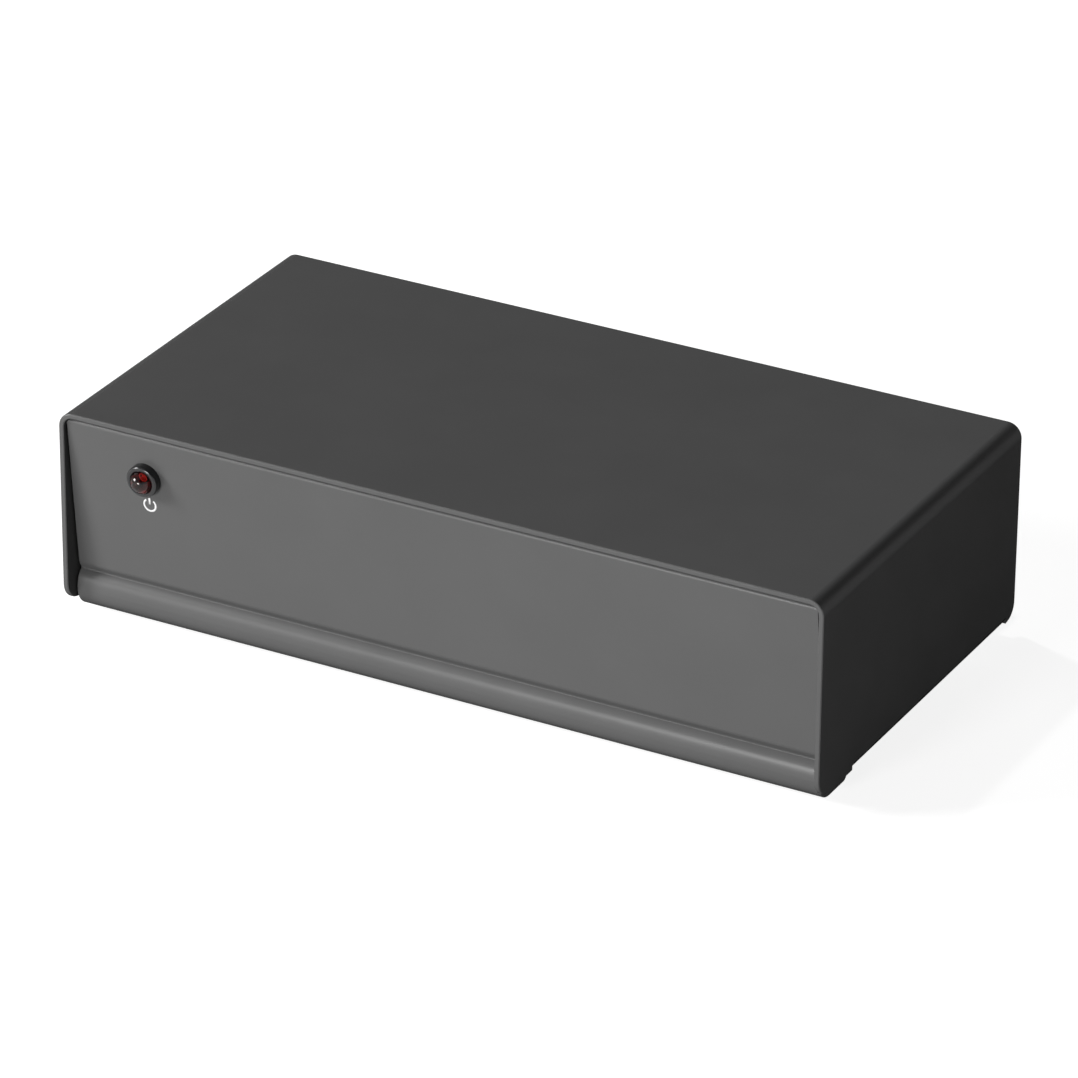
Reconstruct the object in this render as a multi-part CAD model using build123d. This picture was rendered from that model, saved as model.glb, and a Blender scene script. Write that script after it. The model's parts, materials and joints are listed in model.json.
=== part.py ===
from build123d import *
import math
import os

# A small phono preamplifier in a folded steel case. Millimetres, +Z up, front towards -Y.
# The origin is under the middle of the whole part, on the surface that its feet stand on.

# ---------------------------------------------------------------- driving dimensions: case
WIDTH = 108.0               # across the cover's side walls
DEPTH = 56.5                # front to back edge of the cover
COVER_HEIGHT = 27.2         # lower edge to top face of the cover
SHEET = 0.7                 # steel sheet of cover and chassis
COVER_BEND = 2.0            # outer radius of the cover's long top bends
COVER_CORNER = 2.8          # rounding of the side walls' lower front corners
REAR_CORNER = 2.2           # and of the rear ones
FLANGE_REACH = 7.2          # cover's inward flange, outer face of the wall to its edge
FLANGE_FRONT = 9.4          # cover's front edge to the start of the flange
FLANGE_BACK = 2.6           # end of the flange to the cover's back edge
FLANGE_NOTCH = 2.3          # length cut from the flange's front end, where the lip's step passes
FLANGE_MITRE = 1.5          # slope across the flange's ends
END_GAP = 0.2               # chassis edge to the cover's side wall
TOP_GAP = 0.3               # chassis top flanges to the cover's top

PANEL_RECESS = 0.4          # front panel's top bend behind the cover's front edge
PANEL_LEAN = 5.4            # degrees, the panel goes back towards its foot
TOP_BEND = 0.95             # outer radius of the chassis' top bends
TOP_FLANGE = 6.0            # chassis top flanges, front to back
CREASE_DEPTH = 0.345        # crease behind the front panel's face
CREASE_FACE = 35.0          # degrees from upright, short face above the crease
CREASE_BEND = 0.35          # radius in the crease
CREASE_FOLD = 0.9           # radius of the fold above the short face
LIP_DROP = 1.65             # underside of the lip below the cover's lower edge
LIP_TOP_ANGLE = 35.0        # degrees from upright, where the lip leaves the crease
LIP_UPPER_R = 4.25          # outer radius of the lip above its nose
LIP_LOWER_R = 3.18          # outer radius of the lip below its nose
LIP_LENGTH = 7.47           # nose to the step at the back of the lip
STEP_ANGLE = 50.0           # degrees, the step's slope up to the bottom plate
STEP_BEND = 0.9
REAR_RECESS = 1.0           # rear panel inside the cover's back edge
REAR_BEND = 0.95

FOOT_HEIGHT = 3.0
FOOT_R = 4.25
FOOT_TAPER = 0.45
FOOT_EDGE = 0.3
FOOT_GAP = 2.55             # cover's flange to the feet
FOOT_FRONT = 20.0           # cover's front edge to the front feet
FOOT_BACK = 9.0             # rear feet to the cover's back edge

# ---------------------------------------------------------------- fasteners
SCREW_R = 1.5               # M3
SCREW_HEAD_R = 2.75
SCREW_HEAD_HEIGHT = 1.2
SCREW_HEAD_EDGE = 0.45
SCREW_CLEARANCE = 0.2       # radial, holes that a screw passes through
THREAD_CLEARANCE = 0.05     # radial, threads are modelled plain
COVER_SCREW_LENGTH = 4.0
COVER_SCREW_INSET = 4.0     # cover's side face to the screw
COVER_SCREW_FRONT = 20.0    # cover's front edge to the front screws
COVER_SCREW_BACK = 11.5     # rear screws to the cover's back edge
COLLAR_R = 2.3              # drawn collar round the bottom plate's threaded holes
COLLAR_HEIGHT = 1.0

# ---------------------------------------------------------------- circuit board
BOARD_THICKNESS = 1.6
BOARD_INSET = 8.0           # cover's side faces to the board
BOARD_FRONT = 7.0           # cover's front edge to the board
BOARD_REAR_GAP = 0.8        # board to the rear panel
BOARD_CORNER = 1.5
STANDOFF_HEIGHT = 4.0
STANDOFF_FLATS = 5.0
STANDOFF_SHANK_R = 2.1
STANDOFF_INSET = 3.5        # board's side edges to the standoffs
STANDOFF_FRONT = 13.0       # cover's front edge to the front row of standoffs
STANDOFF_GAP = 5.3          # DC jack's front to the rear row of standoffs
BOARD_SCREW_LENGTH = 5.0
PIN_PROUD = 1.0             # legs below the board
PIN_HOLE_R = 0.75
FIT = 0.05                  # clearance of pieces seated in each other

# ---------------------------------------------------------------- panel light
LED_INSET = 12.2            # cover's side face to the lamp
LED_DROP = 6.95             # below the cover's top
LED_R = 1.5
LED_CYLINDER = 2.8
LED_FLANGE_R = 1.9
LED_FLANGE = 1.0
LED_LEAD_R = 0.25
LED_LEAD_PITCH = 2.54
LED_LEAD_BACK = 5.6         # straight lead behind the lamp
LED_LEAD_BEND = 1.0
LED_BELOW_FACE = 0.2        # dome's base below the bezel's face
BEZEL_R = 2.2
BEZEL_PROUD = 1.2
BEZEL_EDGE = 0.25
BEZEL_NECK_R = 1.95
BEZEL_COLLAR_R = 2.45

# ---------------------------------------------------------------- phono jacks
JACK_HEIGHT = 6.5           # jack centres above the board
JACK_PITCH = 14.0
JACK_BODY_SIDE = 5.25       # housing beyond the jack centres
JACK_BODY_TOP = 6.0         # housing above the jack centres
JACK_BODY_DEPTH = 10.0
JACK_BODY_EDGE = 0.4
JACK_BOSS_R = 4.7
JACK_BOSS_PROUD = 0.6
JACK_HOLE_GAP = 0.25        # boss to the hole in the rear panel
SHELL_R = 4.15
SHELL_BORE_R = 3.5
SHELL_TAIL_WALL = 0.4       # thinner stretch inside the housing, with a shoulder on the boss
SHELL_REACH = 8.5           # beyond the rear panel
SHELL_DEPTH = 5.0           # inside the housing
SHELL_EDGE = 0.2
LEG_WIDTH = 1.0
LEG_THICKNESS = 0.5
SHELL_LEG_DEPTH = 3.0       # rear panel's inner face to the shell's leg
INSULATOR_RECESS = 0.4      # insulator's face inside the shell's end
INSULATOR_LIP = 0.7
INSULATOR_MOUTH_R = 1.8
CONTACT_BORE_R = 1.62
CONTACT_WALL = 0.38
CONTACT_SLIT = 0.4
CONTACT_TINES = 5.5
CONTACT_TAIL_R = 0.5

# ---------------------------------------------------------------- DC jack
DC_INSET = 16.0             # cover's side face to the jack
DC_WIDTH = 9.0
DC_TOP = 4.5                # housing above the jack's centre
DC_DEPTH = 13.5
DC_EDGE = 0.4
DC_NOSE_R = 3.9
DC_NOSE_PROUD = 0.4
DC_HOLE_GAP = 0.2
DC_BORE_R = 2.85
DC_BORE_DEPTH = 9.5
DC_PIN_R = 1.05
DC_PIN_RECESS = 0.9
DC_SPRING_WIDTH = 2.4
DC_SPRING_THICKNESS = 0.3
DC_SPRING_BOW = 0.45
DC_SPRING_END = 2.5         # rear panel's outer face to the spring's end

# ---------------------------------------------------------------- ground terminal
GROUND_INSET = 15.0         # cover's side face to the stud
STUD_R = 2.0                # M4
STUD_REACH = 11.0           # beyond the rear panel
STUD_CHAMFER = 0.4
STUD_HEAD = 2.6
HEX_FLATS = 7.0
FIXING_NUT = 2.4
LUG_R = 3.8
LUG_THICKNESS = 0.6
LUG_TAIL = 8.0
LUG_TAIL_WIDTH = 3.0
LUG_EYE_R = 0.9
WASHER_R = 4.5
WASHER_THICKNESS = 0.9
WASHER_GAP = 0.2            # washer to the fixing nut when it is done up
WASHER_NUT_GAP = 0.1
NECK_R = 2.65
NECK_LIP_R = 3.1
NECK_LIP = 0.3
NECK_CLEARANCE = 0.07
NUT_R = 4.6
NUT_LENGTH = 5.0
NUT_EDGE = 0.5
NUT_GROOVES = 24
NUT_GROOVE_DEPTH = 0.35
NUT_CLEARANCE = 0.06        # radial, thumb nut on the stud
WIRE_R = 0.65
WIRE_OUT = 4.6              # ground wire's loop, forwards of the lug
WIRE_RISE = 1.4
WIRE_DOWN = 7.5             # lug to the wire's foot on the board
WIRE_KNEE = 7.0             # wire's last bend above the board
WIRE_BEND = 0.45            # share of the shorter straight that a bend of the wire takes

# ---------------------------------------------------------------- parts on the board
DIP_LENGTH = 9.6
DIP_WIDTH = 6.4
DIP_HEIGHT = 3.3
DIP_STANDOFF = 0.5
DIP_PITCH = 2.54
DIP_ROWS = 7.62
DIP_LEG_WIDTH = 0.6
DIP_LEG_THICKNESS = 0.25
DIP_NOTCH_R = 0.8
OPAMP_BACK = 23.0           # cover's front edge to the middle of the op-amps

SUPPLY_CAP_R = 5.0
SUPPLY_CAP_HEIGHT = 12.5
SUPPLY_CAP_ASIDE = 3.0      # from the DC jack towards the phono jacks, as the next ones
SUPPLY_CAP_BACK = 28.0      # behind the cover's front edge, as the next ones
SMALL_CAP_R = 2.5
SMALL_CAP_HEIGHT = 7.0
CAN_GROOVE = 0.3            # depth of the crimp round the can
CAN_GROOVE_HEIGHT = 1.2     # its middle above the board
CAN_EDGE = 0.4
CAN_LEG_R = 0.3

FILM_CAP_SIZE = (7.2, 2.5, 6.5)
FILM_CAP_PITCH = 5.0
FILM_CAP_EDGE = 0.3

REGULATOR_R = 2.4
REGULATOR_FLAT = 1.3
REGULATOR_HEIGHT = 4.6
REGULATOR_LIFT = 2.5
REGULATOR_PITCH = 1.27
REGULATOR_ASIDE = 13.0
REGULATOR_BACK = 30.0

RESISTOR_R = 1.1
RESISTOR_LENGTH = 6.0
RESISTOR_SPAN = 9.0
RESISTOR_LEAD = 0.5
RESISTOR_PITCH = 3.2
RESISTOR_COUNT = 5
RESISTOR_BACK = 11.5
RESISTOR_ASIDE = 12.5       # op-amp to the resistors beside it
DIODE_R = 1.35
DIODE_LENGTH = 5.0
DIODE_SPAN = 10.0
DIODE_ASIDE = 6.0
DIODE_BACK = 17.0

# ---------------------------------------------------------------- places that follow
LEAN = math.radians(PANEL_LEAN)
BOTTOM_Z = FOOT_HEIGHT                      # underside of the bottom plate
EDGE_Z = BOTTOM_Z - SHEET                   # the cover's lower edge and its flanges' underside
FLOOR_Z = BOTTOM_Z + SHEET                  # top of the bottom plate
TOP_Z = EDGE_Z + COVER_HEIGHT
CHASSIS_TOP_Z = TOP_Z - SHEET - TOP_GAP
HALF_CHASSIS = WIDTH / 2 - SHEET - END_GAP
FLANGE_BEND = SHEET + END_GAP               # outer radius; the bend ends above the chassis' edge
BOARD_Z = FLOOR_Z + STANDOFF_HEIGHT
BOARD_TOP_Z = BOARD_Z + BOARD_THICKNESS
JACK_Z = BOARD_TOP_Z + JACK_HEIGHT
LEG_END_Z = BOARD_Z - PIN_PROUD
LED_Z = TOP_Z - LED_DROP
DOME_BASE = BEZEL_PROUD - LED_BELOW_FACE    # above the front panel's face, as the next
LED_SEAT = DOME_BASE - LED_CYLINDER
LED_PANEL_DEPTH = PANEL_RECESS + (CHASSIS_TOP_Z - LED_Z) * math.tan(LEAN)
LED_REACH = DOME_BASE * math.cos(LEAN) + LED_R - LED_PANEL_DEPTH
FRONT_Y = (LED_REACH - (DEPTH - REAR_RECESS + STUD_REACH)) / 2
REAR_Y = FRONT_Y + DEPTH - REAR_RECESS
REAR_INNER_Y = REAR_Y - SHEET

LED_X = LED_INSET - WIDTH / 2
DC_X = DC_INSET - WIDTH / 2
GROUND_X = WIDTH / 2 - GROUND_INSET
# the two pairs of phono jacks are spaced evenly between the DC jack and the ground lug
PAIR_WIDTH = JACK_PITCH + 2 * JACK_BODY_SIDE
PAIR_GAP = (GROUND_X - LUG_R - DC_X - DC_WIDTH / 2 - 2 * PAIR_WIDTH) / 3
INPUT_X = GROUND_X - LUG_R - PAIR_GAP - PAIR_WIDTH / 2
OUTPUT_X = INPUT_X - PAIR_GAP - PAIR_WIDTH
PAIR = (JACK_PITCH / 2, -JACK_PITCH / 2)
JACKS = {
    "input_left": INPUT_X + PAIR[0],
    "input_right": INPUT_X + PAIR[1],
    "output_left": OUTPUT_X + PAIR[0],
    "output_right": OUTPUT_X + PAIR[1],
}

# places on the board: x, and the distance behind the cover's front edge
SUPPLY_CAP_AT = (DC_X + SUPPLY_CAP_ASIDE, SUPPLY_CAP_BACK)
REGULATOR_AT = (DC_X + REGULATOR_ASIDE, REGULATOR_BACK)
DIODE_AT = (DC_X + DIODE_ASIDE, DIODE_BACK)
OPAMPS = {"left": (INPUT_X, OPAMP_BACK), "right": (OUTPUT_X, OPAMP_BACK)}
RESISTOR_ROWS = {"left": INPUT_X + RESISTOR_ASIDE, "right": OUTPUT_X + RESISTOR_ASIDE}
# film and coupling capacitors stand in two rows between the op-amps and the phono jacks
JACKS_BACK = DEPTH - REAR_RECESS - SHEET - JACK_BODY_DEPTH
OPAMPS_END = OPAMP_BACK + DIP_LENGTH / 2
ROW_GAP = (JACKS_BACK - OPAMPS_END - FILM_CAP_SIZE[1] - 2 * SMALL_CAP_R) / 3
FILM_CAP_BACK = OPAMPS_END + ROW_GAP + FILM_CAP_SIZE[1] / 2
SMALL_CAP_BACK = JACKS_BACK - ROW_GAP - SMALL_CAP_R
FILM_CAPS_AT = [(x + aside, FILM_CAP_BACK) for x in (INPUT_X, OUTPUT_X) for aside in (0, RESISTOR_ASIDE)]
SMALL_CAPS_AT = [(x, SMALL_CAP_BACK) for x in JACKS.values()]

UP = (Align.CENTER, Align.CENTER, Align.MIN)
DOWN = (Align.CENTER, Align.CENTER, Align.MAX)


def panel_y(z):
    """Outer face of the leaning front panel at a height."""
    return FRONT_Y + PANEL_RECESS + (CHASSIS_TOP_Z - z) * math.tan(LEAN)


def rear_plane(x, z):
    """On the rear panel's outer face, looking out: local z is +Y and local y is up."""
    return Plane(origin=(x, REAR_Y, z), x_dir=(-1, 0, 0), z_dir=(0, 1, 0))


def board_place(spot, height=0.0):
    """A place on the board's top face: x, and the distance behind the cover's front edge."""
    return Pos(spot[0], FRONT_Y + spot[1], BOARD_TOP_Z + height)


def rod(plane, radius, start, end):
    return plane.offset(start) * Cylinder(radius, end - start, align=UP)


def folded_section(points, radii, sheet):
    """Section of a folded sheet. The points run along its outer face, the sheet is on their left, and
    each radius is the outer face's at that bend."""
    path = [Vector(*point) for point in points]
    runs = [(end - start).normalized() for start, end in zip(path, path[1:])]
    lefts = [Vector(-run.Y, run.X) for run in runs]
    inner = [path[0] + lefts[0] * sheet]
    inner_radii = []
    for corner, before, after, radius in zip(path[1:-1], lefts, lefts[1:], radii):
        inner.append(corner + (before + after) * (sheet / (1 + before.dot(after))))
        turns_left = before.cross(after).Z > 0
        inner_radii.append(radius - sheet if turns_left else radius + sheet)
    inner.append(path[-1] + lefts[-1] * sheet)
    outer_line = FilletPolyline(*path, radius=radii)
    inner_line = FilletPolyline(*inner, radius=inner_radii)
    ends = [Line(path[0], inner[0]), Line(path[-1], inner[-1])]
    return make_face([*outer_line.edges(), *inner_line.edges(), *ends])


# ---------------------------------------------------------------- case
def screw_spots():
    near = FRONT_Y + COVER_SCREW_FRONT
    far = FRONT_Y + DEPTH - COVER_SCREW_BACK
    side = WIDTH / 2 - COVER_SCREW_INSET
    return [(x, y) for x in (-side, side) for y in (near, far)]


def make_cover():
    """Top and side walls, with an inward flange along each wall's lower edge."""
    half = WIDTH / 2
    hood = folded_section(
        [(half, EDGE_Z), (half, TOP_Z), (-half, TOP_Z), (-half, EDGE_Z)],
        [COVER_BEND, COVER_BEND],
        SHEET,
    )
    front = Plane(origin=(0, FRONT_Y, 0), x_dir=(1, 0, 0), z_dir=(0, -1, 0))
    cover = extrude(front * hood, amount=-DEPTH)
    for end, radius in ((0, COVER_CORNER), (-1, REAR_CORNER)):
        lowest = cover.edges().filter_by(Axis.X).group_by(Axis.Z)[0]
        cover = fillet(lowest.group_by(Axis.Y)[end], radius)

    start = FRONT_Y + FLANGE_FRONT
    length = DEPTH - FLANGE_FRONT - FLANGE_BACK
    plane = front.offset(-FLANGE_FRONT)
    cover -= Pos(0, start, EDGE_Z) * Box(
        WIDTH, length, FLANGE_BEND, align=(Align.CENTER, Align.MIN, Align.MIN)
    )
    for side in (1, -1):
        points = [
            (side * (half - FLANGE_REACH), EDGE_Z),
            (side * half, EDGE_Z),
            (side * half, EDGE_Z + 2 * FLANGE_BEND),
        ]
        if side < 0:
            points.reverse()
        flange = extrude(plane * folded_section(points, [FLANGE_BEND], SHEET), amount=-length)
        cover += flange - mitred_ends(side, start, length)
    for x, y in screw_spots():
        cover -= Pos(x, y, EDGE_Z) * Cylinder(SCREW_R + SCREW_CLEARANCE, SHEET, align=UP)
    return cover


def mitred_ends(side, start, length):
    """What is cut off a flange's two ends, from beside the chassis' edge to its inner edge."""
    outer = side * (HALF_CHASSIS + END_GAP / 2)
    inner = side * (WIDTH / 2 - FLANGE_REACH)
    cuts = []
    for end, notch, mitre in ((start, FLANGE_NOTCH, FLANGE_MITRE), (start + length, 0, -FLANGE_MITRE)):
        shape = [(outer, end), (inner, end), (inner, end + notch + mitre), (outer, end + notch)]
        outline = Polyline(*(shape if notch else shape[:3]), close=True)
        cuts.append(extrude(Pos(0, 0, EDGE_Z) * make_face(outline), amount=FLANGE_BEND))
    return cuts


def chassis_outline():
    """Outer face of the chassis sheet in the YZ plane, from its front top flange to its rear one."""
    top_angle = math.radians(LIP_TOP_ANGLE)
    face_angle = math.radians(CREASE_FACE)
    lip_tangent = LIP_UPPER_R * math.tan(top_angle / 2)
    crease_tangent = CREASE_BEND * math.tan((top_angle + face_angle) / 2)
    lip_corner_z = EDGE_Z - LIP_DROP + LIP_LOWER_R + lip_tangent
    lip_run = lip_tangent + crease_tangent + FIT
    crease_z = lip_corner_z + lip_run * math.cos(top_angle)
    crease = Vector(panel_y(crease_z) + CREASE_DEPTH, crease_z)
    nose_y = crease.X - lip_run * math.sin(top_angle)
    face_run = CREASE_DEPTH / (math.sin(face_angle) - math.cos(face_angle) * math.tan(LEAN))
    fold = crease + Vector(-math.sin(face_angle), math.cos(face_angle)) * face_run
    lip_back = nose_y + LIP_LENGTH
    step_run = (BOTTOM_Z - EDGE_Z + LIP_DROP) / math.tan(math.radians(STEP_ANGLE))
    points = [
        (panel_y(CHASSIS_TOP_Z) + TOP_FLANGE, CHASSIS_TOP_Z),
        (panel_y(CHASSIS_TOP_Z), CHASSIS_TOP_Z),
        (fold.X, fold.Y),
        (crease.X, crease.Y),
        (nose_y, lip_corner_z),
        (nose_y, EDGE_Z - LIP_DROP),
        (lip_back, EDGE_Z - LIP_DROP),
        (lip_back + step_run, BOTTOM_Z),
        (REAR_Y, BOTTOM_Z),
        (REAR_Y, CHASSIS_TOP_Z),
        (REAR_Y - TOP_FLANGE, CHASSIS_TOP_Z),
    ]
    # the lip's two arcs meet at its nose
    radii = [
        TOP_BEND, CREASE_FOLD, CREASE_BEND, LIP_UPPER_R - FIT, LIP_LOWER_R - FIT,
        STEP_BEND, STEP_BEND, REAR_BEND, TOP_BEND,
    ]
    return points, radii


def make_chassis():
    points, radii = chassis_outline()
    section = Plane.YZ * folded_section(points, radii, SHEET)
    chassis = extrude(section, amount=HALF_CHASSIS, both=True)
    # the top corners are rounded to sit inside the cover's bends
    inside = Rectangle(2 * HALF_CHASSIS, 2 * CHASSIS_TOP_Z)
    inside = fillet(inside.vertices(), COVER_BEND - SHEET)
    chassis &= extrude(Plane.XZ * inside, amount=DEPTH, both=True)
    chassis -= rod(led_plane(), BEZEL_NECK_R + FIT, -2 * SHEET, 2 * SHEET)
    for x in JACKS.values():
        chassis -= rod(rear_plane(x, JACK_Z), JACK_BOSS_R + JACK_HOLE_GAP, -2 * SHEET, SHEET)
    chassis -= rod(rear_plane(DC_X, JACK_Z), DC_NOSE_R + DC_HOLE_GAP, -2 * SHEET, SHEET)
    chassis -= rod(rear_plane(GROUND_X, JACK_Z), STUD_R + FIT, -2 * SHEET, SHEET)
    for x, y in screw_spots():
        height = SHEET + COLLAR_HEIGHT
        chassis += Pos(x, y, BOTTOM_Z) * Cylinder(COLLAR_R, height, align=UP)
        chassis -= Pos(x, y, BOTTOM_Z) * Cylinder(SCREW_R + THREAD_CLEARANCE, height, align=UP)
    for x, y in standoff_spots():
        chassis -= Pos(x, y, BOTTOM_Z) * Cylinder(STANDOFF_SHANK_R + FIT, SHEET, align=UP)
    return chassis


def make_feet():
    feet = []
    side = WIDTH / 2 - FLANGE_REACH - FOOT_GAP - FOOT_R
    for x in (-side, side):
        for y in (FRONT_Y + FOOT_FRONT, FRONT_Y + DEPTH - FOOT_BACK):
            foot = Cone(FOOT_R - FOOT_TAPER, FOOT_R, FOOT_HEIGHT, align=UP)
            foot = chamfer(foot.edges().group_by(Axis.Z)[0], FOOT_EDGE)
            feet.append(Pos(x, y, 0) * foot)
    return feet


def pan_screw(length):
    """Pan-head screw: head below the origin, shank up to length."""
    head = Cylinder(SCREW_HEAD_R, SCREW_HEAD_HEIGHT, align=DOWN)
    head = chamfer(head.edges().group_by(Axis.Z)[0], SCREW_HEAD_EDGE)
    return head + Cylinder(SCREW_R, length, align=UP)


def make_cover_screws():
    return [Pos(x, y, EDGE_Z) * pan_screw(COVER_SCREW_LENGTH) for x, y in screw_spots()]


# ---------------------------------------------------------------- board and its mountings
def standoff_spots():
    rows = (FRONT_Y + STANDOFF_FRONT, REAR_INNER_Y - DC_DEPTH - STANDOFF_GAP)
    side = WIDTH / 2 - BOARD_INSET - STANDOFF_INSET
    return [(x, y) for x in (-side, side) for y in rows]


def make_standoffs():
    standoffs = []
    for x, y in standoff_spots():
        hexagon = RegularPolygon(STANDOFF_FLATS / 2, 6, major_radius=False)
        standoff = extrude(Pos(x, y, FLOOR_Z) * hexagon, amount=STANDOFF_HEIGHT)
        standoff += Pos(x, y, BOTTOM_Z) * Cylinder(STANDOFF_SHANK_R, SHEET, align=UP)
        standoff -= Pos(x, y, BOTTOM_Z) * Cylinder(
            SCREW_R + THREAD_CLEARANCE, SHEET + STANDOFF_HEIGHT, align=UP
        )
        standoffs.append(standoff)
    return standoffs


def make_board_screws():
    turned = Rot(180, 0, 0) * pan_screw(BOARD_SCREW_LENGTH)
    return [Pos(x, y, BOARD_TOP_Z) * turned for x, y in standoff_spots()]


def board_rear_y():
    return REAR_INNER_Y - BOARD_REAR_GAP


def make_board(legs):
    front = FRONT_Y + BOARD_FRONT
    depth = board_rear_y() - front
    board = Pos(0, front, BOARD_Z) * Box(
        WIDTH - 2 * BOARD_INSET, depth, BOARD_THICKNESS, align=(Align.CENTER, Align.MIN, Align.MIN)
    )
    board = fillet(board.edges().filter_by(Axis.Z), BOARD_CORNER)
    holes = [(x, y, SCREW_R + SCREW_CLEARANCE) for x, y in standoff_spots()]
    holes += [(x, y, PIN_HOLE_R) for x, y in legs]
    for x, y, radius in holes:
        board -= Pos(x, y, BOARD_Z) * Cylinder(radius, BOARD_THICKNESS, align=UP)
    return board


def leg(x, y, top_z, width=LEG_WIDTH, thickness=LEG_THICKNESS):
    """A flat leg from a height down through the board."""
    return Pos(x, y, LEG_END_Z) * Box(width, thickness, top_z - LEG_END_Z, align=UP)


# ---------------------------------------------------------------- panel light
def led_plane():
    """On the front panel's outer face, local z out of the panel."""
    out = (0, -math.cos(LEAN), -math.sin(LEAN))
    return Plane(origin=(LED_X, panel_y(LED_Z), LED_Z), x_dir=(1, 0, 0), z_dir=out)


def make_led():
    plane = led_plane()
    lamp = Cylinder(LED_R, LED_CYLINDER + LED_R, align=UP)
    lamp = fillet(lamp.edges().group_by(Axis.Z)[-1], LED_R - FIT)
    lamp += Cylinder(LED_FLANGE_R, LED_FLANGE, align=DOWN)
    return plane.offset(LED_SEAT) * lamp


def make_bezel():
    plane = led_plane()
    ring = Cylinder(BEZEL_R, BEZEL_PROUD, align=UP)
    ring = fillet(ring.edges().group_by(Axis.Z)[-1], BEZEL_EDGE)
    bezel = plane * ring
    bezel += rod(plane, BEZEL_NECK_R, -SHEET, 0)
    bezel += rod(plane, BEZEL_COLLAR_R, LED_SEAT, -SHEET)
    return bezel - rod(plane, LED_R + FIT, LED_SEAT, BEZEL_PROUD)


def led_lead_spots():
    """Where the leads go down through the board."""
    plane = led_plane()
    back = LED_SEAT - LED_FLANGE - LED_LEAD_BACK
    turn = plane.from_local_coords((0, 0, back))
    return [(LED_X + side * LED_LEAD_PITCH / 2, turn.Y) for side in (-1, 1)]


def make_led_leads():
    plane = led_plane()
    base = LED_SEAT - LED_FLANGE
    leads = []
    for side in (-1, 1):
        across = side * LED_LEAD_PITCH / 2
        start = plane.from_local_coords((across, 0, base))
        turn = plane.from_local_coords((across, 0, base - LED_LEAD_BACK))
        foot = Vector(turn.X, turn.Y, LEG_END_Z)
        path = FilletPolyline(start, turn, foot, radius=LED_LEAD_BEND)
        section = Plane(origin=start, z_dir=turn - start) * Circle(LED_LEAD_R)
        leads.append(sweep(section, path=path))
    return leads


# ---------------------------------------------------------------- phono jacks
SHELL_START = -SHEET - SHELL_DEPTH
SHELL_TAIL_R = SHELL_BORE_R + SHELL_TAIL_WALL
JACK_BACK = -SHEET - JACK_BODY_DEPTH
CONTACT_R = CONTACT_BORE_R + CONTACT_WALL
INSULATOR_END = SHELL_REACH - INSULATOR_RECESS
SHELL_LEG_Y = REAR_INNER_Y - SHELL_LEG_DEPTH
CONTACT_LEG_Y = REAR_Y + JACK_BACK - FIT - LEG_THICKNESS / 2


def make_shell(x):
    plane = rear_plane(x, JACK_Z)
    barrel = rod(plane, SHELL_R, JACK_BOSS_PROUD, SHELL_REACH)
    shell = chamfer(barrel.edges().group_by(Axis.Y)[-1], SHELL_EDGE)
    shell += rod(plane, SHELL_TAIL_R, SHELL_START, JACK_BOSS_PROUD)
    shell += leg(x, SHELL_LEG_Y, JACK_Z - SHELL_BORE_R - SHELL_TAIL_WALL / 2)
    return shell - rod(plane, SHELL_BORE_R, SHELL_START, SHELL_REACH)


def make_insulator(x):
    plane = rear_plane(x, JACK_Z)
    lip_start = INSULATOR_END - INSULATOR_LIP
    insulator = rod(plane, SHELL_BORE_R - FIT, SHELL_START, INSULATOR_END)
    insulator -= rod(plane, CONTACT_R + FIT, SHELL_START, lip_start)
    return insulator - rod(plane, INSULATOR_MOUTH_R, lip_start, INSULATOR_END)


def make_contact(x):
    """Split sleeve, its tail through the housing and its leg down to the board."""
    plane = rear_plane(x, JACK_Z)
    end = INSULATOR_END - INSULATOR_LIP - FIT
    sleeve = rod(plane, CONTACT_R, SHELL_START, end)
    sleeve -= rod(plane, CONTACT_BORE_R, SHELL_START + 2 * CONTACT_WALL, end)
    slit = plane.offset(end) * Box(CONTACT_SLIT, 3 * CONTACT_R, CONTACT_TINES, align=DOWN)
    cross = plane.offset(end) * Box(3 * CONTACT_R, CONTACT_SLIT, CONTACT_TINES, align=DOWN)
    tail = rod(plane, CONTACT_TAIL_R, JACK_BACK - FIT - LEG_THICKNESS, SHELL_START)
    return sleeve - slit - cross + tail + leg(x, CONTACT_LEG_Y, JACK_Z + LEG_WIDTH)


def make_jack_housing(middle):
    """One moulding for a pair of jacks, with a round boss through the rear panel for each."""
    height = JACK_HEIGHT + JACK_BODY_TOP
    block = Pos(middle, REAR_INNER_Y, BOARD_TOP_Z) * Box(
        PAIR_WIDTH, JACK_BODY_DEPTH, height, align=(Align.CENTER, Align.MAX, Align.MIN)
    )
    housing = fillet(block.edges().filter_by(Axis.Y).group_by(Axis.Z)[-1], JACK_BODY_EDGE)
    for offset_x in PAIR:
        x = middle + offset_x
        plane = rear_plane(x, JACK_Z)
        housing += rod(plane, JACK_BOSS_R, -SHEET, JACK_BOSS_PROUD)
        housing -= rod(plane, SHELL_TAIL_R + FIT, SHELL_START, JACK_BOSS_PROUD)
        housing -= rod(plane, CONTACT_TAIL_R + FIT, JACK_BACK, SHELL_START)
        slot_top = JACK_Z - SHELL_BORE_R
        housing -= leg(x, SHELL_LEG_Y, slot_top, LEG_WIDTH + 2 * FIT, LEG_THICKNESS + 2 * FIT)
    return housing


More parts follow.
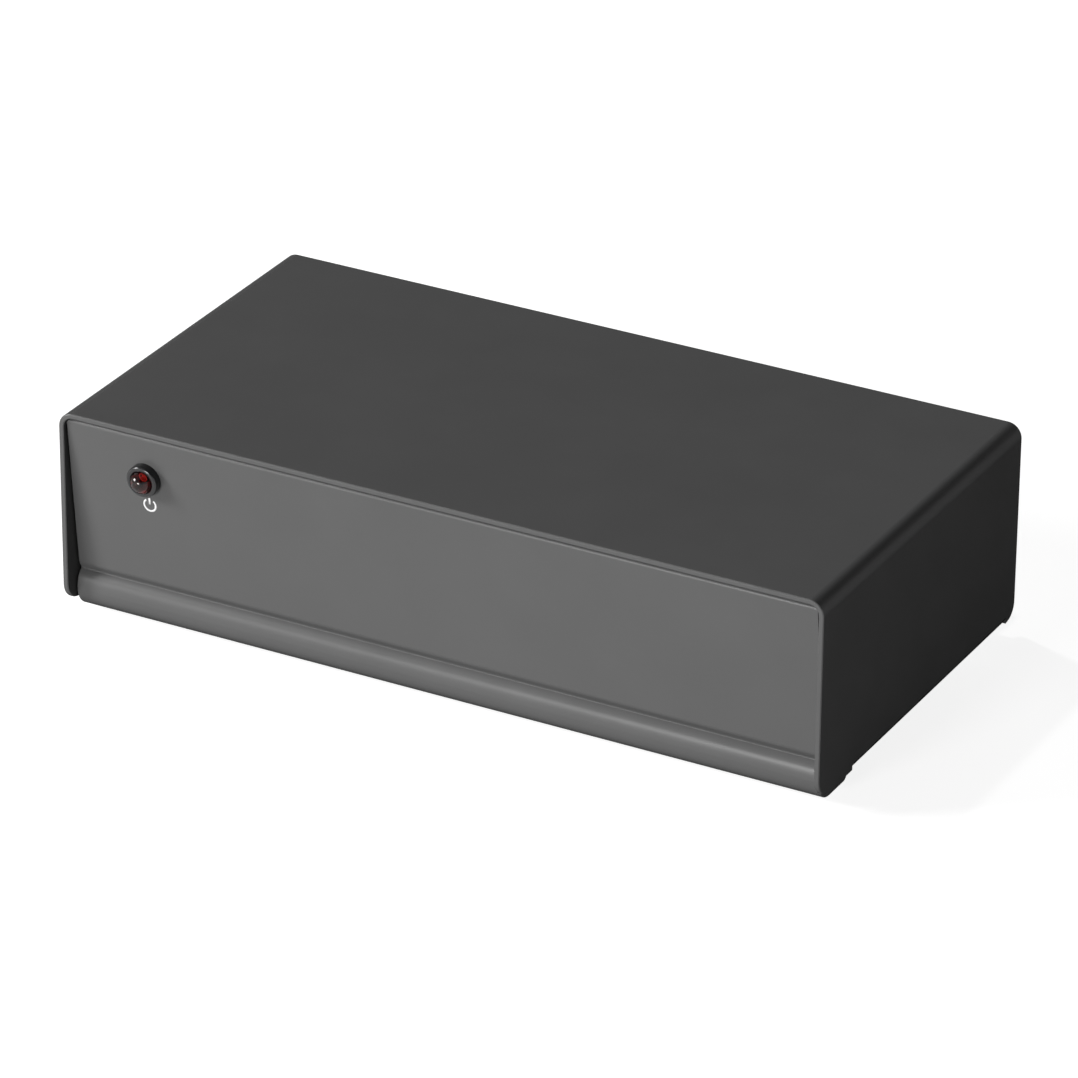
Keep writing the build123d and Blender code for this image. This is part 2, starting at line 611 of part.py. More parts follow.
# ---------------------------------------------------------------- DC jack
DC_BACK = -SHEET - DC_DEPTH
DC_FLOOR = DC_NOSE_PROUD - DC_BORE_DEPTH
DC_SPRING_Z = JACK_Z - DC_BORE_R - DC_SPRING_THICKNESS / 2
DC_LEG_Y = REAR_Y + DC_BACK - FIT - LEG_THICKNESS / 2
DC_SPRING_LEG_Y = REAR_Y + DC_FLOOR - LEG_THICKNESS


def dc_spring_strip(slack, rise):
    """The strip in the housing's slot: slack is the slot's play round it, rise its room upwards."""
    width = DC_SPRING_WIDTH + 2 * slack
    length = REAR_Y - DC_SPRING_END + slack - DC_SPRING_LEG_Y
    height = DC_SPRING_THICKNESS + slack + rise
    strip = Box(width, length, height, align=(Align.CENTER, Align.MIN, Align.MIN))
    return Pos(DC_X, DC_SPRING_LEG_Y, DC_SPRING_Z - DC_SPRING_THICKNESS / 2 - slack) * strip


def make_dc_spring():
    """The strip bows up into the bore, where it touches the plug, and its leg goes down to the board."""
    low = DC_SPRING_Z + DC_SPRING_THICKNESS / 2
    end_y = REAR_Y - DC_SPRING_END
    quarter = (end_y - DC_SPRING_LEG_Y) / 4
    bow = make_face(
        Polyline(
            (DC_SPRING_LEG_Y + quarter, low),
            (DC_SPRING_LEG_Y + 2 * quarter, low + DC_SPRING_BOW),
            (DC_SPRING_LEG_Y + 3 * quarter, low),
            close=True,
        )
    )
    bow = extrude(Plane.YZ.offset(DC_X) * bow, amount=DC_SPRING_WIDTH / 2, both=True)
    return dc_spring_strip(0, 0) + bow + leg(DC_X, DC_SPRING_LEG_Y, low)


def make_dc_housing():
    plane = rear_plane(DC_X, JACK_Z)
    block = Pos(DC_X, REAR_INNER_Y, BOARD_TOP_Z) * Box(
        DC_WIDTH, DC_DEPTH, JACK_HEIGHT + DC_TOP, align=(Align.CENTER, Align.MAX, Align.MIN)
    )
    housing = fillet(block.edges().filter_by(Axis.Y).group_by(Axis.Z)[-1], DC_EDGE)
    housing += rod(plane, DC_NOSE_R, -SHEET, DC_NOSE_PROUD)
    housing -= rod(plane, DC_BORE_R, DC_FLOOR, DC_NOSE_PROUD)
    housing -= rod(plane, DC_PIN_R + FIT, DC_BACK, DC_FLOOR)
    housing -= dc_spring_strip(FIT, 2 * DC_SPRING_BOW)
    slot = leg(DC_X, DC_SPRING_LEG_Y, JACK_Z - DC_BORE_R, LEG_WIDTH + 2 * FIT, LEG_THICKNESS + 2 * FIT)
    return housing - slot


def make_dc_pin():
    plane = rear_plane(DC_X, JACK_Z)
    pin = rod(plane, DC_PIN_R, DC_BACK - FIT - LEG_THICKNESS, DC_NOSE_PROUD - DC_PIN_RECESS)
    pin = fillet(pin.edges().group_by(Axis.Y)[-1], DC_PIN_R / 2)
    return pin + leg(DC_X, DC_LEG_Y, JACK_Z + LEG_WIDTH)


# ---------------------------------------------------------------- ground terminal
WASHER_START = FIXING_NUT + WASHER_GAP
WASHER_END = WASHER_START + WASHER_THICKNESS
NUT_START = WASHER_END + WASHER_NUT_GAP
LIP_START = WASHER_START + FIT
LUG_START = -SHEET - LUG_THICKNESS


def hexagon_bar(plane, start, end):
    hexagon = RegularPolygon(HEX_FLATS / 2, 6, major_radius=False)
    bar = extrude(plane.offset(start) * hexagon, amount=end - start)
    corner_r = HEX_FLATS / math.sqrt(3)
    round_off = rod(plane, corner_r, start, end)
    return bar & chamfer(round_off.edges().group_by(Axis.Y)[-1], (corner_r - HEX_FLATS / 2) / 2)


def make_ground_post():
    plane = rear_plane(GROUND_X, JACK_Z)
    stud = rod(plane, STUD_R, LUG_START, STUD_REACH)
    stud = chamfer(stud.edges().group_by(Axis.Y)[-1], STUD_CHAMFER)
    return stud + hexagon_bar(plane, LUG_START - STUD_HEAD, LUG_START)


def make_fixing_nut():
    plane = rear_plane(GROUND_X, JACK_Z)
    return hexagon_bar(plane, 0, FIXING_NUT) - rod(plane, STUD_R + FIT, 0, FIXING_NUT)


def make_ground_lug():
    """Ring round the stud with a tail that stands up for the wire."""
    plane = rear_plane(GROUND_X, JACK_Z)
    tail = Pos(0, LUG_TAIL / 2) * Rectangle(LUG_TAIL_WIDTH, LUG_TAIL)
    tail += Pos(0, LUG_TAIL) * Circle(LUG_TAIL_WIDTH / 2)
    outline = Circle(LUG_R) + tail - Circle(STUD_R + FIT) - Pos(0, LUG_TAIL) * Circle(LUG_EYE_R)
    return extrude(plane.offset(LUG_START) * outline, amount=LUG_THICKNESS)


def make_ground_wire():
    """From the lug's eye in a loop down to the board."""
    start = Vector(GROUND_X, REAR_Y + LUG_START, JACK_Z + LUG_TAIL)
    crest = start + Vector(0, -WIRE_OUT, WIRE_RISE)
    knee = Vector(GROUND_X, start.Y - WIRE_DOWN, BOARD_TOP_Z + WIRE_KNEE)
    foot = Vector(GROUND_X, knee.Y, BOARD_TOP_Z)
    points = [start, crest, knee, foot]
    radii = []
    for before, corner, after in zip(points, points[1:], points[2:]):
        shorter = min((corner - before).length, (after - corner).length)
        turn = math.radians((corner - before).get_angle(after - corner))
        radii.append(WIRE_BEND * shorter / math.tan(turn / 2))
    path = FilletPolyline(*points, radius=radii)
    section = Plane(origin=start, z_dir=crest - start) * Circle(WIRE_R)
    return sweep(section, path=path)


def make_clamp_washer():
    plane = rear_plane(GROUND_X, JACK_Z)
    washer = rod(plane, WASHER_R, WASHER_START, WASHER_END)
    washer -= rod(plane, NECK_R + NECK_CLEARANCE, WASHER_START, WASHER_END)
    recess_end = LIP_START + NECK_LIP + NECK_CLEARANCE
    return washer - rod(plane, NECK_LIP_R + NECK_CLEARANCE, WASHER_START, recess_end)


def make_thumb_nut():
    """Grooved round nut, with a neck and lip that hold the washer."""
    plane = rear_plane(GROUND_X, JACK_Z)
    body = rod(plane, NUT_R, NUT_START, NUT_START + NUT_LENGTH)
    ends = body.edges().group_by(Axis.Y)
    nut = chamfer(ends[0] + ends[-1], NUT_EDGE)
    groove = make_face(
        Polyline(
            (NUT_R - NUT_GROOVE_DEPTH, 0),
            (NUT_R + NUT_GROOVE_DEPTH, NUT_GROOVE_DEPTH * 2),
            (NUT_R + NUT_GROOVE_DEPTH, -NUT_GROOVE_DEPTH * 2),
            close=True,
        )
    )
    cutter = extrude(plane.offset(NUT_START) * groove, amount=NUT_LENGTH)
    axis = Axis((GROUND_X, 0, JACK_Z), (0, 1, 0))
    nut -= [cutter.rotate(axis, 360 * step / NUT_GROOVES) for step in range(NUT_GROOVES)]
    nut += rod(plane, NECK_R, LIP_START, NUT_START)
    nut += rod(plane, NECK_LIP_R, LIP_START, LIP_START + NECK_LIP)
    return nut - rod(plane, STUD_R + NUT_CLEARANCE, LIP_START, NUT_START + NUT_LENGTH)


# ---------------------------------------------------------------- parts on the board
def make_opamp(spot):
    """Eight-legged moulded package with a notch at its front end."""
    body = board_place(spot, DIP_STANDOFF) * Box(DIP_WIDTH, DIP_LENGTH, DIP_HEIGHT, align=UP)
    body -= board_place((spot[0], spot[1] - DIP_LENGTH / 2), DIP_STANDOFF + DIP_HEIGHT) * Cylinder(
        DIP_NOTCH_R, DIP_NOTCH_R, align=DOWN
    )
    shoulder_z = BOARD_TOP_Z + DIP_STANDOFF + DIP_HEIGHT / 2
    reach = (DIP_ROWS - DIP_WIDTH + DIP_LEG_THICKNESS) / 2
    for x, y in dip_legs(spot):
        body += leg(x, y, shoulder_z, DIP_LEG_THICKNESS, DIP_LEG_WIDTH)
        inward = 1 if x < spot[0] else -1
        arm_x = x - inward * DIP_LEG_THICKNESS / 2 + inward * reach / 2
        body += Pos(arm_x, y, shoulder_z) * Box(reach, DIP_LEG_WIDTH, DIP_LEG_THICKNESS, align=DOWN)
    return body


def dip_legs(spot):
    along = [(index - 1.5) * DIP_PITCH for index in range(4)]
    return [
        (spot[0] + side * DIP_ROWS / 2, FRONT_Y + spot[1] + offset_y)
        for side in (-1, 1)
        for offset_y in along
    ]


def make_can(spot, radius, height):
    """Electrolytic capacitor: can with a crimp above its base, on two legs."""
    profile = Polyline(
        (0, 0),
        (radius, 0),
        (radius, CAN_GROOVE_HEIGHT - CAN_GROOVE),
        (radius - CAN_GROOVE, CAN_GROOVE_HEIGHT),
        (radius, CAN_GROOVE_HEIGHT + CAN_GROOVE),
        (radius, height - CAN_EDGE),
        (radius - CAN_EDGE, height),
        (0, height),
        close=True,
    )
    can = board_place(spot) * revolve(Plane.XZ * make_face(profile), Axis.Z)
    for x, y in two_legs(spot, radius):
        can += Pos(x, y, LEG_END_Z) * Cylinder(CAN_LEG_R, BOARD_TOP_Z - LEG_END_Z, align=UP)
    return can


def two_legs(spot, pitch):
    return [(spot[0] + side * pitch / 2, FRONT_Y + spot[1]) for side in (-1, 1)]


def make_film_cap(spot):
    length, thickness, height = FILM_CAP_SIZE
    block = board_place(spot) * Box(length, thickness, height, align=UP)
    block = fillet(block.edges().filter_by(Axis.Z), FILM_CAP_EDGE)
    for x, y in two_legs(spot, FILM_CAP_PITCH):
        block += Pos(x, y, LEG_END_Z) * Cylinder(CAN_LEG_R, BOARD_TOP_Z - LEG_END_Z, align=UP)
    return block


def regulator_legs():
    x, back = REGULATOR_AT
    return [(x + step * REGULATOR_PITCH, FRONT_Y + back) for step in (-1, 0, 1)]


def make_regulator():
    """Three-legged moulded package with one flat side."""
    body = Cylinder(REGULATOR_R, REGULATOR_HEIGHT, align=UP)
    cut = Pos(0, -REGULATOR_FLAT, 0) * Box(
        2 * REGULATOR_R, REGULATOR_R, REGULATOR_HEIGHT, align=(Align.CENTER, Align.MAX, Align.MIN)
    )
    regulator = board_place(REGULATOR_AT, REGULATOR_LIFT) * (body - cut)
    top_z = BOARD_TOP_Z + REGULATOR_LIFT
    for x, y in regulator_legs():
        regulator += leg(x, y, top_z, LEG_THICKNESS, LEG_THICKNESS)
    return regulator


def axial_part(spot, radius, length, span):
    """A body lying along X with its two leads bent down through the board."""
    z = BOARD_TOP_Z + radius
    x, y = spot[0], FRONT_Y + spot[1]
    body = Plane(origin=(x - length / 2, y, z), z_dir=(1, 0, 0)) * Cylinder(radius, length, align=UP)
    body += Pos(x, y, z) * Box(span, RESISTOR_LEAD, RESISTOR_LEAD)
    for end_x, end_y in two_legs(spot, span - RESISTOR_LEAD):
        body += leg(end_x, end_y, z + RESISTOR_LEAD / 2, RESISTOR_LEAD, RESISTOR_LEAD)
    return body


def resistor_spots(row_x):
    return [(row_x, RESISTOR_BACK + index * RESISTOR_PITCH) for index in range(RESISTOR_COUNT)]


def board_legs():
    """Every place where a leg goes through the board."""
    legs = list(led_lead_spots()) + regulator_legs()
    for x in JACKS.values():
        legs += [(x, SHELL_LEG_Y), (x, CONTACT_LEG_Y)]
    legs += [(DC_X, DC_LEG_Y), (DC_X, DC_SPRING_LEG_Y)]
    for spot in OPAMPS.values():
        legs += dip_legs(spot)
    legs += two_legs(SUPPLY_CAP_AT, SUPPLY_CAP_R)
    legs += [place for spot in SMALL_CAPS_AT for place in two_legs(spot, SMALL_CAP_R)]
    legs += [place for spot in FILM_CAPS_AT for place in two_legs(spot, FILM_CAP_PITCH)]
    for row_x in RESISTOR_ROWS.values():
        for spot in resistor_spots(row_x):
            legs += two_legs(spot, RESISTOR_SPAN - RESISTOR_LEAD)
    legs += two_legs(DIODE_AT, DIODE_SPAN - RESISTOR_LEAD)
    return legs


# ---------------------------------------------------------------- all nodes
def make_nodes():
    nodes = {
        "top_cover": make_cover(),
        "chassis": make_chassis(),
        "rubber_feet": make_feet(),
        "cover_screws": make_cover_screws(),
        "circuit_board": make_board(board_legs()),
        "board_standoffs": make_standoffs(),
        "board_screws": make_board_screws(),
        "power_led": make_led(),
        "led_bezel": make_bezel(),
        "led_leads": make_led_leads(),
        "input_jack_housing": make_jack_housing(INPUT_X),
        "output_jack_housing": make_jack_housing(OUTPUT_X),
        "dc_jack_housing": make_dc_housing(),
        "dc_jack_pin": make_dc_pin(),
        "dc_jack_spring": make_dc_spring(),
        "ground_post": make_ground_post(),
        "ground_fixing_nut": make_fixing_nut(),
        "ground_lug": make_ground_lug(),
        "ground_wire": make_ground_wire(),
        "ground_clamp_washer": make_clamp_washer(),
        "ground_thumb_nut": make_thumb_nut(),
        "supply_capacitor": make_can(SUPPLY_CAP_AT, SUPPLY_CAP_R, SUPPLY_CAP_HEIGHT),
        "voltage_regulator": make_regulator(),
        "polarity_diode": axial_part(DIODE_AT, DIODE_R, DIODE_LENGTH, DIODE_SPAN),
        "coupling_capacitors": [
            make_can(spot, SMALL_CAP_R, SMALL_CAP_HEIGHT) for spot in SMALL_CAPS_AT
        ],
        "film_capacitors": [make_film_cap(spot) for spot in FILM_CAPS_AT],
    }
    for name, x in JACKS.items():
        nodes[name + "_shell"] = make_shell(x)
        nodes[name + "_insulator"] = make_insulator(x)
        nodes[name + "_contact"] = make_contact(x)
    for name, spot in OPAMPS.items():
        nodes["opamp_" + name] = make_opamp(spot)
    for name, row_x in RESISTOR_ROWS.items():
        spots = resistor_spots(row_x)
        nodes["resistors_" + name] = [
            axial_part(spot, RESISTOR_R, RESISTOR_LENGTH, RESISTOR_SPAN) for spot in spots
        ]
    return nodes


os.makedirs("parts", exist_ok=True)
for name, shape in make_nodes().items():
    pieces = shape if isinstance(shape, list) else [shape]
    solids = [solid for piece in pieces for solid in piece.solids()]
    export_step(Compound(solids), f"parts/{name}.step")
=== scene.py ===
"""The phono preamp's looks: materials, softer edges, fasteners, panel light, studio and camera.

The frame gives every node in metres, z up, the front towards -y. Numbers that end up multiplied by MM are
millimetres, and points in a profile are (radius, along the axis).
"""
import json
import math

import bpy
import bmesh
from mathutils import Matrix, Vector

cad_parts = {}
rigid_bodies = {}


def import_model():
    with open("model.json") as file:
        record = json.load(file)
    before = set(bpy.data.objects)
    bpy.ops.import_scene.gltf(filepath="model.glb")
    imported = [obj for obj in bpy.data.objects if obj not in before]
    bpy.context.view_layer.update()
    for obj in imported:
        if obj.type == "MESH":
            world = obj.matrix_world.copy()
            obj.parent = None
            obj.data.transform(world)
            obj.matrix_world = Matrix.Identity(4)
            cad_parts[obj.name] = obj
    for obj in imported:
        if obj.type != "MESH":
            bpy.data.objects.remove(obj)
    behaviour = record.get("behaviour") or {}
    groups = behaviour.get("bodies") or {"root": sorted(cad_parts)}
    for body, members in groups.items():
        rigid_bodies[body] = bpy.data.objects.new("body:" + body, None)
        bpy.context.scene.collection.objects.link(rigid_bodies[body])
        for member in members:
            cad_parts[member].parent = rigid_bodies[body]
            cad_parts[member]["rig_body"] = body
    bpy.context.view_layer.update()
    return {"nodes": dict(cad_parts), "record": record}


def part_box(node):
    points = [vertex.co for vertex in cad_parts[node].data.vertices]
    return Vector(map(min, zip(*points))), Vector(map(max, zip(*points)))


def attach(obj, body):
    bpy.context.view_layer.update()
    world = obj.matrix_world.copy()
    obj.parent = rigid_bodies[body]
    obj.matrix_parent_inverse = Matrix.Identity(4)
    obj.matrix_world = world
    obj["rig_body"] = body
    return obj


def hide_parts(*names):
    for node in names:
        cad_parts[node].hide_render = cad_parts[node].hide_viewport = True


MM = 0.001

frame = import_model()
nodes = frame["nodes"]


def polar(azimuth, elevation, distance):
    """A point seen from the part, in degrees, azimuth from the front towards the right."""
    a, e = math.radians(azimuth), math.radians(elevation)
    return Vector((math.sin(a) * math.cos(e), -math.cos(a) * math.cos(e), math.sin(e))) * distance


# ---------------------------------------------------------------- camera
AZIMUTH, ELEVATION, ROLL = 28.3422, 26.7531, 0.4649     # degrees, to the right of the front
LENS = 218.45
TARGET = Vector((0.0, -4.267, 12.362)) * MM
DISTANCE = 834.2 * MM


def add_camera():
    back = polar(AZIMUTH, ELEVATION, 1.0)
    azimuth, roll = math.radians(AZIMUTH), math.radians(ROLL)
    right = Vector((math.cos(azimuth), math.sin(azimuth), 0))
    up = back.cross(right)
    right_rolled = right * math.cos(roll) + up * math.sin(roll)
    up_rolled = up * math.cos(roll) - right * math.sin(roll)
    data = bpy.data.cameras.new("camera")
    data.sensor_width = 36
    data.lens = LENS
    data.clip_start = 0.05
    data.clip_end = 20
    camera = bpy.data.objects.new("camera", data)
    bpy.context.scene.collection.objects.link(camera)
    place = Matrix((right_rolled, up_rolled, back)).transposed().to_4x4()
    place.translation = TARGET + back * DISTANCE
    camera.matrix_world = place
    bpy.context.scene.camera = camera


add_camera()


# ---------------------------------------------------------------- node helpers
class Nodes:
    """The node tree of a material or a world, built with short calls."""

    def __init__(self, owner, output="ShaderNodeOutputMaterial"):
        owner.use_nodes = True
        self.owner = owner
        self.tree = owner.node_tree
        self.tree.nodes.clear()
        self.output = self.add(output)
        self.coords = None

    def add(self, kind, **values):
        node = self.tree.nodes.new(kind)
        for key, value in values.items():
            setattr(node, key, value)
        return node

    def link(self, source, target):
        self.tree.links.new(source, target)

    def fill(self, socket, value):
        """Sets a socket to a value or links an output to it."""
        if isinstance(value, bpy.types.NodeSocket):
            self.link(value, socket)
        else:
            socket.default_value = value

    def where(self, stretch=None):
        """The object's own coordinates, stretched where three factors are given."""
        if self.coords is None:
            self.coords = self.add("ShaderNodeTexCoord").outputs["Object"]
        if stretch is None:
            return self.coords
        mapping = self.add("ShaderNodeMapping")
        mapping.inputs["Scale"].default_value = stretch
        self.link(self.coords, mapping.inputs["Vector"])
        return mapping.outputs["Vector"]

    def noise(self, size, detail=2.0, rough=0.5, stretch=None):
        """Noise with features of about size metres."""
        node = self.add("ShaderNodeTexNoise")
        self.link(self.where(stretch), node.inputs["Vector"])
        node.inputs["Scale"].default_value = 1.0 / size
        node.inputs["Detail"].default_value = detail
        node.inputs["Roughness"].default_value = rough
        return node.outputs["Fac"]

    def cells(self, size):
        """The distance to scattered points about size metres apart."""
        node = self.add("ShaderNodeTexVoronoi", feature="F1")
        self.link(self.where(), node.inputs["Vector"])
        node.inputs["Scale"].default_value = 1.0 / size
        return node.outputs["Distance"]

    def split(self, vector):
        node = self.add("ShaderNodeSeparateXYZ")
        self.link(vector, node.inputs[0])
        return node.outputs

    def spread(self, value, low, high, start=0.0, end=1.0, kind="LINEAR"):
        """Maps value from start..end to low..high, without going past either."""
        node = self.add("ShaderNodeMapRange", interpolation_type=kind)
        for socket, item in (("Value", value), ("From Min", start), ("From Max", end), ("To Min", low),
                             ("To Max", high)):
            self.fill(node.inputs[socket], item)
        return node.outputs["Result"]

    def math(self, operation, a, b):
        node = self.add("ShaderNodeMath", operation=operation)
        self.fill(node.inputs[0], a)
        self.fill(node.inputs[1], b)
        return node.outputs[0]

    def blend(self, share, a, b):
        """Colour a to colour b by share."""
        node = self.add("ShaderNodeMix", data_type="RGBA")
        self.fill(node.inputs["Factor"], share)
        self.fill(node.inputs[6], a)
        self.fill(node.inputs[7], b)
        return node.outputs[2]

    def cloudy(self, cloud, a, b, start=0.3, end=0.7):
        """Colours a and b, a little of each, as a noise has it."""
        return self.blend(self.spread(cloud, 0, 1, start, end), a, b)

    def bump(self, *layers):
        """Layers of (height output, metres of relief), laid over each other."""
        normal = None
        for height, relief in layers:
            node = self.add("ShaderNodeBump")
            node.inputs["Strength"].default_value = 1.0
            node.inputs["Distance"].default_value = relief
            self.link(height, node.inputs["Height"])
            if normal is not None:
                self.link(normal, node.inputs["Normal"])
            normal = node.outputs["Normal"]
        return normal

    def shader(self, colour, roughness, normal, **sockets):
        """A principled surface; sockets' names have underscores for spaces."""
        node = self.add("ShaderNodeBsdfPrincipled")
        self.fill(node.inputs["Base Color"], colour)
        self.fill(node.inputs["Roughness"], roughness)
        self.link(normal, node.inputs["Normal"])
        for key, value in sockets.items():
            self.fill(node.inputs[key.replace("_", " ")], value)
        self.link(node.outputs[0], self.output.inputs["Surface"])
        return self.owner

    def mixed(self, share, a, b):
        """Shader output a to shader output b by share, as what the tree puts out."""
        node = self.add("ShaderNodeMixShader")
        for socket, source in zip(node.inputs, (share, a, b)):
            self.link(source, socket)
        self.link(node.outputs[0], self.output.inputs["Surface"])


def new_nodes(name):
    return Nodes(bpy.data.materials.new(name))


# ---------------------------------------------------------------- materials
def powder_coat():
    """Black powder coat: its highlights come from a small metallic share with a dark edge tint."""
    n = new_nodes("powder_coat")
    fine = n.noise(0.00032, 2.0)
    peel = n.noise(0.0011, 2.0, 0.4)
    colour = n.cloudy(n.noise(0.012, 3.0), (0.118, 0.118, 0.118, 1), (0.124, 0.124, 0.124, 1))
    colour = n.blend(n.spread(fine, 0, 0.25, 0.50, 0.80), colour, (0.128, 0.128, 0.128, 1))
    rough = n.spread(n.noise(0.004, 3.0), 0.29, 0.33, 0.3, 0.7)
    return n.shader(colour, rough, n.bump((peel, 1.6e-6), (fine, 0.5e-6)),
                    Specular_IOR_Level=0.0, Metallic=0.28, Specular_Tint=(0.12, 0.12, 0.12, 1))


def metal(name, colour, dark, rough, turned=None, relief=0.6e-6):
    """Plated or bare metal: cloudy tone, fine scratches, and turning marks across the stretched axes."""
    n = new_nodes(name)
    cloud = n.noise(0.003, 4.0, 0.6)
    scratch = n.noise(0.0006, 3.0, 0.6, (1, 0.12, 1))
    marks = n.noise(0.00018, 2.0, 0.7, turned) if turned else n.noise(0.00025, 3.0)
    tone = n.cloudy(cloud, colour, dark, 0.35)
    roughness = n.spread(n.math("ADD", cloud, scratch), rough - 0.05, rough + 0.09, 0.7, 1.3)
    return n.shader(tone, roughness, n.bump((marks, relief), (scratch, relief)), Metallic=1.0)


def plastic(name, colour, other, rough, grain=0.00035, relief=3e-6, **sockets):
    """Moulded plastic: spark-eroded grain and faint flow clouds."""
    n = new_nodes(name)
    tone = n.cloudy(n.noise(0.004, 3.0), colour, other)
    roughness = n.spread(n.noise(0.0015, 3.0), rough - 0.04, rough + 0.05, 0.3, 0.7)
    return n.shader(tone, roughness, n.bump((n.noise(grain, 2.0, 0.6), relief)), **sockets)


def rubber():
    """Dull rubber with a little dust."""
    n = new_nodes("foot_rubber")
    tone = n.cloudy(n.noise(0.002, 4.0), (0.028, 0.028, 0.028, 1), (0.05, 0.049, 0.047, 1), 0.4, 0.75)
    dust = n.spread(n.noise(0.0004, 3.0), 0, 0.4, 0.6, 0.8)
    tone = n.blend(dust, tone, (0.11, 0.105, 0.1, 1))
    return n.shader(tone, 0.82, n.bump((n.noise(0.0006, 3.0), 12e-6), (n.cells(0.0004), 6e-6)))


def black_oxide():
    """Blackened steel, worn to bare metal in specks."""
    n = new_nodes("black_steel")
    cloud = n.noise(0.0015, 4.0, 0.6)
    tone = n.cloudy(cloud, (0.030, 0.030, 0.033, 1), (0.055, 0.054, 0.056, 1), 0.4)
    worn = n.spread(n.noise(0.0004, 4.0, 0.7), 0, 0.5, 0.66, 0.8)
    tone = n.blend(worn, tone, (0.20, 0.20, 0.21, 1))
    return n.shader(tone, n.spread(cloud, 0.30, 0.45, 0.3, 0.7), n.bump((cloud, 3e-6)), Metallic=0.85)


def board():
    """Green solder resist over copper: wide tracks, a poured ground and fine glass weave."""
    n = new_nodes("board_green")
    tracks = n.add("ShaderNodeTexBrick", offset=0.5, squash=0.6, squash_frequency=3)
    n.link(n.where(), tracks.inputs["Vector"])
    for socket, value in (("Scale", 60.0), ("Mortar Size", 0.09), ("Mortar Smooth", 0.05),
                          ("Brick Width", 0.62), ("Row Height", 0.17)):
        tracks.inputs[socket].default_value = value
    copper = tracks.outputs["Fac"]
    weave = n.add("ShaderNodeTexWave", wave_type="BANDS", bands_direction="DIAGONAL")
    n.link(n.where(), weave.inputs["Vector"])
    weave.inputs["Scale"].default_value = 900.0
    weave.inputs["Distortion"].default_value = 1.5
    tone = n.cloudy(n.noise(0.01, 3.0), (0.012, 0.105, 0.038, 1), (0.018, 0.135, 0.052, 1))
    tone = n.blend(copper, tone, (0.030, 0.210, 0.075, 1))
    return n.shader(tone, 0.32, n.bump((copper, 25e-6), (weave.outputs["Fac"], 1.5e-6)), Coat_Weight=0.3)


def sleeve_can():
    """Shrink sleeve of a capacitor, its pale negative stripe towards the front, and its bare metal top."""
    n = new_nodes("can_black")
    normal = n.split(n.add("ShaderNodeNewGeometry").outputs["Normal"])
    stripe = n.spread(normal["Y"], 0, 1, -0.955, -0.965)
    top = n.spread(normal["Z"], 0, 1, 0.80, 0.95)
    cloud = n.noise(0.003, 3.0)
    tone = n.cloudy(cloud, (0.022, 0.023, 0.030, 1), (0.030, 0.032, 0.040, 1))
    tone = n.blend(stripe, tone, (0.55, 0.56, 0.58, 1))
    bare = n.cloudy(n.noise(0.0008, 3.0), (0.52, 0.52, 0.53, 1), (0.62, 0.62, 0.63, 1))
    return n.shader(n.blend(top, tone, bare), n.spread(top, 0.28, 0.38), n.bump((cloud, 20e-6)))


TURNED = (0.04, 1, 0.04)        # marks run round the y axis
MATERIALS = {
    "case_black": powder_coat(),
    "black_steel": black_oxide(),
    "zinc_steel": metal("zinc_steel", (0.60, 0.61, 0.62, 1), (0.48, 0.49, 0.51, 1), 0.30),
    "nickel": metal("nickel", (0.66, 0.64, 0.61, 1), (0.54, 0.52, 0.49, 1), 0.22, TURNED),
    "brass": metal("brass", (0.80, 0.60, 0.27, 1), (0.68, 0.48, 0.20, 1), 0.24, TURNED),
    "foot_rubber": rubber(),
    "board_green": board(),
    "can_black": sleeve_can(),
    "led_red": plastic("led_red", (0.52, 0.030, 0.022, 1), (0.44, 0.016, 0.014, 1), 0.06, 0.0008, 0.3e-6,
                       Transmission_Weight=1.0, IOR=1.45),
}
# colour, its cloudy neighbour, roughness, grain and relief in metres
PLASTICS = {
    "bezel_black": ((0.012, 0.012, 0.013, 1), (0.018, 0.018, 0.019, 1), 0.16, 0.0005, 0.8e-6),
    "jack_black": ((0.026, 0.026, 0.028, 1), (0.036, 0.036, 0.038, 1), 0.46),
    "insulator_white": ((0.80, 0.79, 0.75, 1), (0.74, 0.73, 0.68, 1), 0.38),
    "insulator_red": ((0.56, 0.030, 0.024, 1), (0.46, 0.022, 0.020, 1), 0.36),
    "print_white": ((0.86, 0.86, 0.86, 1), (0.80, 0.80, 0.80, 1), 0.5, 0.0003, 1e-6),
    "wire_green": ((0.030, 0.26, 0.060, 1), (0.024, 0.21, 0.048, 1), 0.35, 0.0008, 4e-6),
    "package_black": ((0.030, 0.030, 0.032, 1), (0.042, 0.042, 0.044, 1), 0.55, 0.0002, 3e-6),
    "film_yellow": ((0.72, 0.44, 0.045, 1), (0.66, 0.38, 0.035, 1), 0.28, 0.0006, 2e-6),
    "resistor_blue": ((0.13, 0.36, 0.58, 1), (0.10, 0.30, 0.50, 1), 0.32, 0.0007, 6e-6),
}
for name, looks in PLASTICS.items():
    MATERIALS[name] = plastic(name, *looks)

SLOT_OF = {part["node"]: part["material_slot"] for part in frame["record"]["subparts"]}
for name, slot_name in SLOT_OF.items():
    slots = nodes[name].data.materials
    slots.clear()
    slots.append(MATERIALS[slot_name])


# ---------------------------------------------------------------- meshes
def mesh_from(work, name):
    """A new mesh of what a bmesh holds, its faces looking outwards."""
    bmesh.ops.recalc_face_normals(work, faces=work.faces)
    mesh = bpy.data.meshes.new(name)
    work.to_mesh(mesh)
    work.free()
    return mesh


